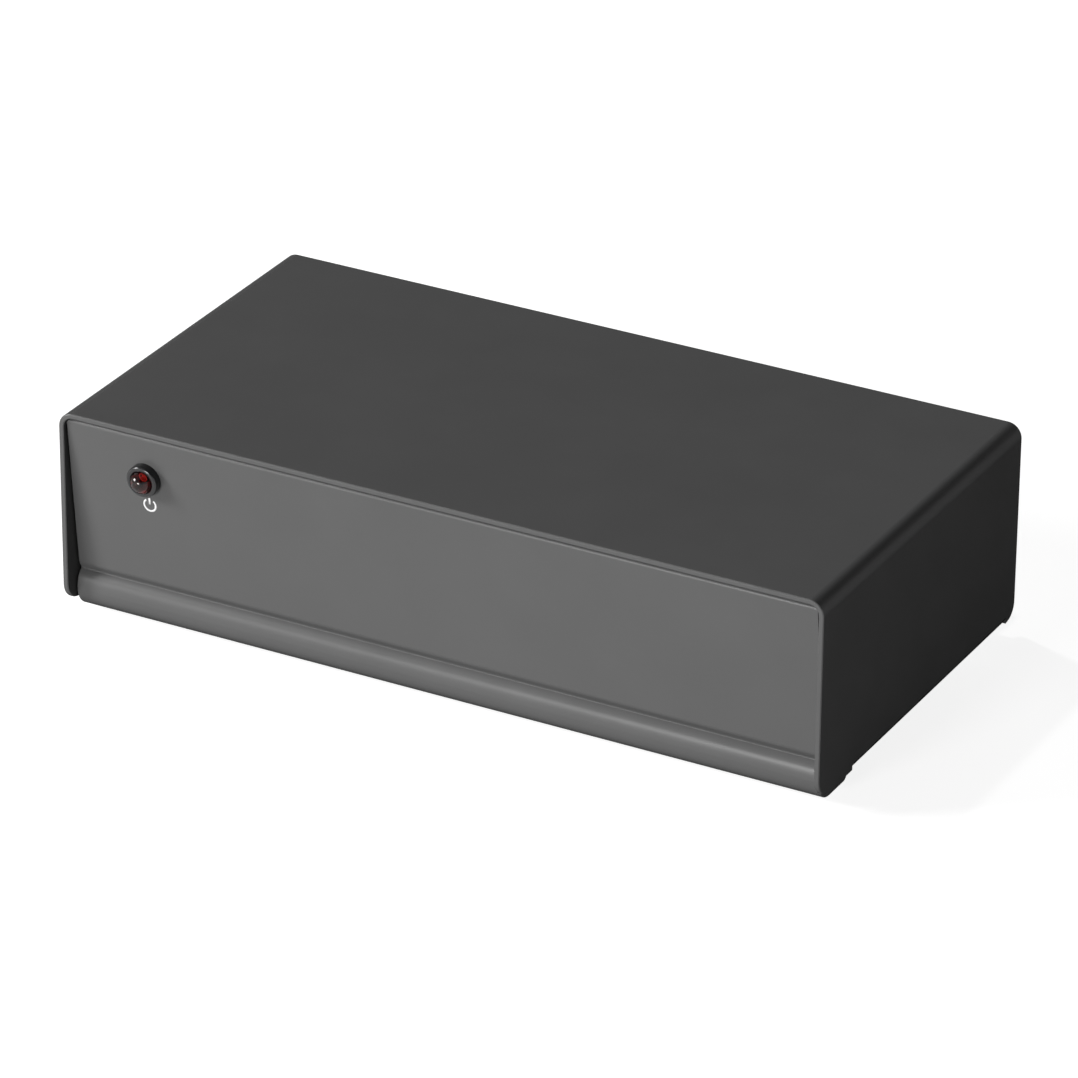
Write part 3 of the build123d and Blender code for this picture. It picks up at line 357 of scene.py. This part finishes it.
def skin(work, rings):
    """Faces between rings of vertices; a ring of one vertex closes a pole."""
    count = max(len(ring) for ring in rings)
    for low, high in zip(rings, rings[1:]):
        for step in range(count):
            nxt = (step + 1) % count
            corners = [low[step % len(low)], low[nxt % len(low)]]
            corners += [high[nxt % len(high)], high[step % len(high)]]
            corners = list(dict.fromkeys(corners))
            if len(corners) > 2:
                work.faces.new(corners)


def lathe(profile, origin, axis, segments):
    """A profile in millimetres turned about an axis; a radius of 0 closes it."""
    turn = Vector((0, 0, 1)).rotation_difference(Vector(axis)).to_matrix()
    work = bmesh.new()
    rings = []
    for radius, along in ((radius * MM, along * MM) for radius, along in profile):
        ring = []
        for step in range(segments if radius > 0 else 1):
            angle = 2 * math.pi * step / segments
            spot = Vector((radius * math.cos(angle), radius * math.sin(angle), along))
            ring.append(work.verts.new(turn @ spot + Vector(origin)))
        rings.append(ring)
    skin(work, rings)
    return mesh_from(work, "lathe")


def arc(centre_r, centre_z, radius, start, end, steps):
    """Profile points of an arc, in degrees from the radius' direction towards the axis' direction."""
    angles = [math.radians(start + (end - start) * step / steps) for step in range(steps + 1)]
    return [(centre_r + radius * math.cos(a), centre_z + radius * math.sin(a)) for a in angles]


THREAD_CHAMFER = 0.45           # length of a thread's tapered tip
FLANK_SLOPE, FLANK_FLAT = 1.35, 0.15        # how steep a thread's flanks are and how flat its root


def thread_mesh(origin, axis, pitch, start, end, crest, root, segments, steps):
    """A screw thread on a rod from start to end, in millimetres, with steps rows of faces a turn."""
    turn = Vector((0, 0, 1)).rotation_difference(Vector(axis)).to_matrix()
    work = bmesh.new()
    rows = int((end - start) / pitch * steps)
    rings = []
    for row in range(rows + 1):
        along = start + (end - start) * row / rows
        tip = min(1.0, (end - along) / THREAD_CHAMFER)
        ring = []
        for step in range(segments):
            angle = 2 * math.pi * step / segments
            phase = (along / pitch - step / segments) % 1.0
            depth = min(1.0, max(0.0, FLANK_SLOPE * abs(2 * phase - 1) - FLANK_FLAT))
            radius = root + (crest - root) * min(depth, tip)
            spot = turn @ Vector((radius * math.cos(angle), radius * math.sin(angle), along))
            ring.append(work.verts.new(spot * MM + Vector(origin)))
        rings.append(ring)
    skin(work, rings)
    work.faces.new(list(reversed(rings[0])))
    work.faces.new(rings[-1])
    return mesh_from(work, "thread")


def joined(*meshes):
    """The meshes as one, doubled vertices merged."""
    work = bmesh.new()
    for mesh in meshes:
        work.from_mesh(mesh)
    bmesh.ops.remove_doubles(work, verts=work.verts, dist=0.001 * MM)
    return mesh_from(work, "joined")


# ---------------------------------------------------------------- pieces
BODY_OF = {name: node["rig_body"] for name, node in nodes.items()}


def add_piece(name, mesh, node, slot=None, look=None, replaced=True, smooth=30.0):
    """A mesh that stands for a node, or lies on it, and rides where the node rides."""
    slot = slot or SLOT_OF[node]
    mesh.materials.clear()
    mesh.materials.append(MATERIALS[look or slot])
    for face in mesh.polygons:
        face.use_smooth = True
    piece = bpy.data.objects.new(name, mesh)
    bpy.context.scene.collection.objects.link(piece)
    mesh.set_sharp_from_angle(angle=math.radians(smooth))
    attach(piece, BODY_OF[node])
    if replaced:
        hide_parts(node)
    return piece


def finished(piece):
    """The piece's mesh with its modifiers applied."""
    graph = bpy.context.evaluated_depsgraph_get()
    mesh = bpy.data.meshes.new_from_object(piece.evaluated_get(graph))
    piece.modifiers.clear()
    piece.data = mesh
    return mesh


# ---------------------------------------------------------------- sheet metal
SHARP = 40.0                    # degrees between two faces from which their edge is rounded
MERGE, FLAT = 0.002 * MM, math.radians(0.5)     # vertices this close and faces this flat become one
RIM_ROUND, SIDE_ROUND = 0.14 * MM, 0.10 * MM
RIM_FRONT, RIM_BACK = 2.9, 2.3  # how far the cover's front and rear corners reach in
COVER_FRONT, COVER_BACK = (corner.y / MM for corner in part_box("top_cover"))
CHASSIS_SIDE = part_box("chassis")[1].x / MM


def softened(node, width, chosen, shaped=None):
    """The node's own shape, moved by shaped, its sharp edges rounded where both their ends are chosen."""
    mesh = nodes[node].data.copy()
    for vertex in mesh.vertices if shaped else ():
        vertex.co = shaped(vertex.co / MM) * MM
    work = bmesh.new()
    work.from_mesh(mesh)
    bmesh.ops.remove_doubles(work, verts=work.verts, dist=MERGE)
    bmesh.ops.dissolve_limit(work, angle_limit=FLAT, verts=work.verts, edges=work.edges)
    weights = work.edges.layers.float.new("bevel_weight_edge")
    for edge in work.edges:
        sharp = len(edge.link_faces) == 2 and edge.calc_face_angle() > math.radians(SHARP)
        if sharp and all(chosen(vertex.co / MM) for vertex in edge.verts):
            edge[weights] = 1.0
    work.to_mesh(mesh)
    work.free()
    piece = add_piece(node + "_finish", mesh, node, smooth=SHARP)
    bevel = piece.modifiers.new("edges", "BEVEL")
    bevel.width = width
    bevel.segments = 2
    bevel.limit_method = "WEIGHT"
    bevel.use_clamp_overlap = False
    piece.modifiers.new("normals", "WEIGHTED_NORMAL").keep_sharp = True
    finished(piece)


def cover_rim(spot):
    return spot.y - COVER_FRONT < RIM_FRONT or COVER_BACK - spot.y < RIM_BACK


def chassis_side(spot):
    return CHASSIS_SIDE - abs(spot.x) < 0.01


# the front panel's top bend is tighter than the solid's, and its flange a little nearer the cover's top
LEAN = math.radians(5.4)        # the front panel leans back by this
BEND_FROM_Y, BEND_FROM_Z = -20, 27.0        # what lies in front of and above these is bend or flange
BEND_CENTRE = Vector((0, -31.039, 27.55))
BEND_INNER, BEND_OUTER = 0.25, 0.95
TIGHT_CENTRE = Vector((0, -31.402, 27.88))
TIGHT_INNER, TIGHT_OUTER = 0.02, 0.62
FLANGE_LIFT = 0.17


def tight_bend(spot):
    if spot.y > BEND_FROM_Y or spot.z < BEND_FROM_Z:
        return spot
    out = Vector((0, spot.y, spot.z)) - BEND_CENTRE
    if out.y <= 0.001 and BEND_INNER - 0.05 < out.length < BEND_OUTER + 0.05:
        share = (out.length - BEND_INNER) / (BEND_OUTER - BEND_INNER)
        bent = TIGHT_CENTRE + out.normalized() * (TIGHT_INNER + (TIGHT_OUTER - TIGHT_INNER) * share)
        spot = Vector((spot.x, bent.y, bent.z))
    return spot + Vector((0, -math.tan(LEAN), 1)) * FLANGE_LIFT


# the crease above the lip is drawn a little deeper, taller and lower than the solid's
CREASE_FROM_Y = -28             # the crease lies in front of this
CREASE_Z, CREASE_TOP, CREASE_LOW = 6.5, 7.33, 5.35
CREASE_MOVE = Vector((0, 0.18, -0.2))
CREASE_TALLER = 1.3


def deep_crease(spot):
    if spot.y > CREASE_FROM_Y or not CREASE_LOW < spot.z < CREASE_TOP + 0.1:
        return spot
    above = spot.z - CREASE_Z
    if above < 0:
        return spot + CREASE_MOVE * (1 + above / (CREASE_Z - CREASE_LOW)) ** 2
    taller = above * (CREASE_TALLER - 1)
    share = max(0.0, 1 - above / (CREASE_TOP - CREASE_Z))
    return spot + Vector((0, math.tan(LEAN), 1)) * taller + CREASE_MOVE * share


softened("top_cover", RIM_ROUND, cover_rim)
softened("chassis", SIDE_ROUND, chassis_side, lambda spot: deep_crease(tight_bend(spot)))

# ---------------------------------------------------------------- panel light
LAMP_AT = Vector((-41.8, -31.521, 22.55)) * MM
LAMP_OUT = Vector((0, -math.cos(LEAN), -math.sin(LEAN)))
ALONG_PANEL = Vector((1, 0, 0))
UP_PANEL = Vector((0, -math.sin(LEAN), math.cos(LEAN)))
DOME_R = 1.5
CUP_AT, POST_SIDE = -0.25, 0.62             # the two inner parts, along the panel from the lamp's axis
LENS_PROFILE = [(0, -2.8), (1.75, -2.8), (1.9, -2.65), (1.9, -1.95), (1.75, -1.8), (1.55, -1.8), (1.5, -1.7)]
LENS_PROFILE += arc(0, 1.0, DOME_R, 0, 87, 20) + [(0, 2.5)]
CUP_PROFILE = [(0, 0.0), (0.12, 0.0), (0.28, 0.36), (0.34, 0.36), (0.34, -0.35), (0.2, -0.6), (0.2, -2.6)]
CUP_PROFILE += [(0, -2.6)]
POST_PROFILE = [(0, 0.25), (0.16, 0.25), (0.16, -0.2), (0.12, -2.6), (0, -2.6)]
RING_PROFILE = [(1.55, -1.8), (2.45, -1.8), (2.45, -0.72), (2.42, -0.7), (1.95, -0.7), (1.95, 0.0), (2.2, 0.0)]
RING_PROFILE += arc(1.88, 0.88, 0.32, 0, 90, 8) + arc(1.70, 1.05, 0.15, 90, 180, 6)
RING_PROFILE += [(1.55, 1.0), (1.55, -1.8)]


def lamp_part(name, profile, node, segments, aside=0.0, **how):
    """A part turned about the lamp's axis, or about one that stands aside of it."""
    origin = LAMP_AT + ALONG_PANEL * (aside * MM)
    add_piece(name, lathe(profile, origin, LAMP_OUT, segments), node, **how)


lamp_part("led_lens", LENS_PROFILE, "power_led", 72, smooth=50)
lamp_part("led_cup", CUP_PROFILE, "power_led", 32, CUP_AT, slot="nickel", replaced=False)
lamp_part("led_post", POST_PROFILE, "power_led", 24, POST_SIDE, slot="nickel", replaced=False)
lamp_part("bezel_ring", RING_PROFILE, "led_bezel", 96, smooth=40)

# ---------------------------------------------------------------- power symbol
MARK_ASIDE, MARK_UP = 0.35, -3.85           # from the lamp's axis
MARK_R, MARK_STROKE = 0.85, 0.26
MARK_GAP = 38                   # degrees of the ring left open on each side of the bar
MARK_STEPS = 40
BAR_LOW, BAR_HIGH = MARK_R * 0.15, MARK_R * 1.25
MARK_LIFT, INK = 0.012, 0.02    # above the panel, and the print's own thickness


def add_power_mark():
    """The plain on/off sign, printed: an open ring and an upright bar."""
    origin = LAMP_AT + ALONG_PANEL * (MARK_ASIDE * MM) + UP_PANEL * (MARK_UP * MM) + LAMP_OUT * (MARK_LIFT * MM)
    work = bmesh.new()

    def strip(rows):
        """A band of faces over rows of two points each, in millimetres on the panel."""
        spots = [[origin + (ALONG_PANEL * x + UP_PANEL * z) * MM for x, z in row] for row in rows]
        pairs = [[work.verts.new(spot) for spot in row] for row in spots]
        for (a, b), (c, d) in zip(pairs, pairs[1:]):
            work.faces.new((a, b, d, c))

    turns = [90 + MARK_GAP + (360 - 2 * MARK_GAP) * step / MARK_STEPS for step in range(MARK_STEPS + 1)]
    sides = (MARK_R - MARK_STROKE / 2, MARK_R + MARK_STROKE / 2)
    strip([[(r * math.cos(math.radians(t)), r * math.sin(math.radians(t))) for r in sides] for t in turns])
    strip([[(x, z) for x in (-MARK_STROKE / 2, MARK_STROKE / 2)] for z in (BAR_LOW, BAR_HIGH)])
    mark = add_piece("power_mark", mesh_from(work, "power_mark"), "chassis", slot="insulator_white",
                     look="print_white", replaced=False)
    mark.modifiers.new("ink", "SOLIDIFY").thickness = INK * MM
    finished(mark)


add_power_mark()

# ---------------------------------------------------------------- screws
HEAD_R, HEAD_H = 2.75, 1.2
HEAD_PROFILE = [(0, HEAD_H), (0.9, HEAD_H), (1.7, HEAD_H - 0.1), (2.3, HEAD_H - 0.35), (2.65, HEAD_H - 0.75),
                (HEAD_R, 0.25), (HEAD_R, 0.05), (2.7, 0.0), (1.2, 0.0), (1.2, -0.3), (0, -0.3)]
M3_PITCH, M3_CREST, M3_ROOT = 0.5, 1.5, 1.2
CROSS_MOUTH, CROSS_END = (0.3, 1.6, 0.36), (-0.8, 0.7, 0.2)     # level, an arm's reach, half its width


def cut(mesh, cutter_mesh):
    """The mesh with the cutter's shape taken out of it."""
    pair = [bpy.data.objects.new("cut", data) for data in (mesh, cutter_mesh)]
    for thing in pair:
        bpy.context.scene.collection.objects.link(thing)
    bite = pair[0].modifiers.new("cut", "BOOLEAN")
    bite.operation = "DIFFERENCE"
    bite.solver = "FAST"
    bite.object = pair[1]
    mesh = finished(pair[0])
    for thing in pair:
        bpy.data.objects.remove(thing)
    return mesh


def cross_cutter(places, face_z, sign):
    """Tapered crosses that go into screw heads; sign is 1 where a head's face looks up."""
    work = bmesh.new()
    for x, y in places:
        rings = []
        for level, reach, half in (CROSS_MOUTH, CROSS_END):
            outline = [(reach, -half), (reach, half), (half, half)]
            outline += [(half, reach), (-half, reach), (-half, half)]
            outline += [(-a, -b) for a, b in outline]
            z = face_z + sign * level
            rings.append([work.verts.new(Vector((x + a, y + b, z)) * MM) for a, b in outline])
        work.faces.new(rings[0])
        work.faces.new(list(reversed(rings[1])))
        skin(work, rings)
    return mesh_from(work, "crosses")


def pan_screws(node, looks_up, length):
    """Pan-head screws with domed heads, cross recesses and threads in place of the node's plain ones."""
    low, high = (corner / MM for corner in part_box(node))
    sign, face_z = (1, high.z) if looks_up else (-1, low.z)
    places = [(x, y) for x in (low.x + HEAD_R, high.x - HEAD_R) for y in (low.y + HEAD_R, high.y - HEAD_R)]
    seats = [Vector((x, y, face_z - sign * HEAD_H)) * MM for x, y in places]
    heads = joined(*[lathe(HEAD_PROFILE, seat, (0, 0, sign), 40) for seat in seats])
    thread = ((0, 0, -sign), M3_PITCH, 0.0, length, M3_CREST, M3_ROOT, 28, 6)
    shanks = [thread_mesh(seat, *thread) for seat in seats]
    mesh = joined(cut(heads, cross_cutter(places, face_z, sign)), *shanks)
    add_piece(node + "_turned", mesh, node, smooth=35)


pan_screws("cover_screws", False, 4.0)
pan_screws("board_screws", True, 5.0)

# ---------------------------------------------------------------- ground stud
M4_PITCH, M4_CREST, M4_ROOT = 0.7, 2.0, 1.62
M4_START = 0.3                  # outside the rear panel
CORE_R, CORE_END = 1.5, 10.8    # the node's rod, thinned inside its thread
CORE_AXIS = 1.2                 # vertices nearer the axis stay


def add_ground_stud():
    """The node's own stud, with a thread outside the rear panel."""
    low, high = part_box("ground_post")
    rear_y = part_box("chassis")[1].y
    origin = Vector(((low.x + high.x) / 2, rear_y, (low.z + high.z) / 2))
    work = bmesh.new()
    work.from_mesh(nodes["ground_post"].data)
    for vertex in work.verts:
        spot = vertex.co
        out = math.hypot(spot.x - origin.x, spot.z - origin.z)
        if spot.y > rear_y and out > CORE_AXIS * MM:
            share = CORE_R * MM / out
            spot.x = origin.x + (spot.x - origin.x) * share
            spot.z = origin.z + (spot.z - origin.z) * share
            spot.y = min(spot.y, rear_y + CORE_END * MM)
    thread_end = (high.y - rear_y) / MM
    thread = thread_mesh(origin, (0, 1, 0), M4_PITCH, M4_START, thread_end, M4_CREST, M4_ROOT, 48, 10)
    add_piece("ground_stud", joined(mesh_from(work, "post"), thread), "ground_post")


add_ground_stud()

# ---------------------------------------------------------------- studio
LAMP_DISTANCE = 1.1
LAMPS_AIM = Vector((0, 0, 0.015))
LAMPS = (       # name, azimuth, elevation, power, width, height
    ("key", -56, 24, 10.6, 0.3, 0.3),       # the main light, from the left
    ("line", -7, 8, 7.6, 0.24, 0.10),       # low in front: the lip's highlight
    ("wing", -30, 10, 0.4, 0.15, 0.3),
    ("crest", -114, 62, 1.9, 0.05, 0.05),   # small: the bright line on the front panel's top bend
    ("rear", 187, 8, 6.0, 0.9, 0.4),        # for the side that the camera doesn't see
)
FLOOR_HALF = 3.0
FLOOR_SHADE = (0.4, 0.4, 0.4, 1)            # the floor for the light that it throws on things
FLOOR_SEEN, FLOOR_GLOW = (0.45, 0.45, 0.45, 1), 0.86    # the floor that the camera, metal and glass see
FILL = 0.02                     # the world's light on things
SKY_LOW, SKY_HIGH = 0.14, 0.5   # heights between which the seen world goes from white to its top tone
SKY_WHITE = 1.0
SKY_LEFT, SKY_RIGHT = -0.1, 0.3             # between these the top tone goes from its left to its right value
SKY_TOP_LEFT, SKY_TOP_RIGHT = 0.35, 0.0


def lamp(name, azimuth, elevation, power, width, height):
    data = bpy.data.lights.new(name, "AREA")
    data.shape = "RECTANGLE"
    data.size = width
    data.size_y = height
    data.energy = power
    place = polar(azimuth, elevation, LAMP_DISTANCE)
    holder = bpy.data.objects.new(name, data)
    holder.location = place
    holder.rotation_euler = (LAMPS_AIM - place).to_track_quat("-Z", "Y").to_euler()
    bpy.context.scene.collection.objects.link(holder)


def seen_ray(n):
    """1 for what the camera, metal and glass see, 0 for the light that falls on things."""
    path = n.add("ShaderNodeLightPath").outputs
    value = path["Is Camera Ray"]
    for name in ("Is Glossy Ray", "Is Transmission Ray"):
        value = n.math("MAXIMUM", value, path[name])
    return value


def diffuse(n, colour):
    node = n.add("ShaderNodeBsdfDiffuse")
    node.inputs["Color"].default_value = colour
    return node.outputs[0]


def background(n, strength):
    node = n.add("ShaderNodeBackground")
    node.inputs["Color"].default_value = (1, 1, 1, 1)
    n.fill(node.inputs["Strength"], strength)
    return node.outputs[0]


def add_floor():
    """A pale floor that is drawn nearly white and keeps the part's shadow."""
    h = FLOOR_HALF
    mesh = bpy.data.meshes.new("floor")
    mesh.from_pydata([(-h, -h, 0), (h, -h, 0), (h, h, 0), (-h, h, 0)], [], [(0, 1, 2, 3)])
    floor = bpy.data.objects.new("floor", mesh)
    bpy.context.scene.collection.objects.link(floor)
    n = new_nodes("floor")
    glow = n.add("ShaderNodeEmission")
    glow.inputs["Strength"].default_value = FLOOR_GLOW
    both = n.add("ShaderNodeAddShader")
    n.link(diffuse(n, FLOOR_SEEN), both.inputs[0])
    n.link(glow.outputs[0], both.inputs[1])
    n.mixed(seen_ray(n), diffuse(n, FLOOR_SHADE), both.outputs[0])
    mesh.materials.append(n.owner)


def add_world():
    """A weak even fill, and for the camera, metal and glass a white horizon with a darker sky."""
    world = bpy.data.worlds.new("studio")
    bpy.context.scene.world = world
    n = Nodes(world, "ShaderNodeOutputWorld")
    direction = n.split(n.add("ShaderNodeTexCoord").outputs["Generated"])
    top = n.spread(direction["X"], SKY_TOP_LEFT, SKY_TOP_RIGHT, SKY_LEFT, SKY_RIGHT, "SMOOTHSTEP")
    shown = n.spread(direction["Z"], SKY_WHITE, top, SKY_LOW, SKY_HIGH, "SMOOTHSTEP")
    n.mixed(seen_ray(n), background(n, FILL), background(n, shown))


for setup in LAMPS:
    lamp(*setup)
add_floor()
add_world()

bpy.context.scene.view_settings.view_transform = "Standard"
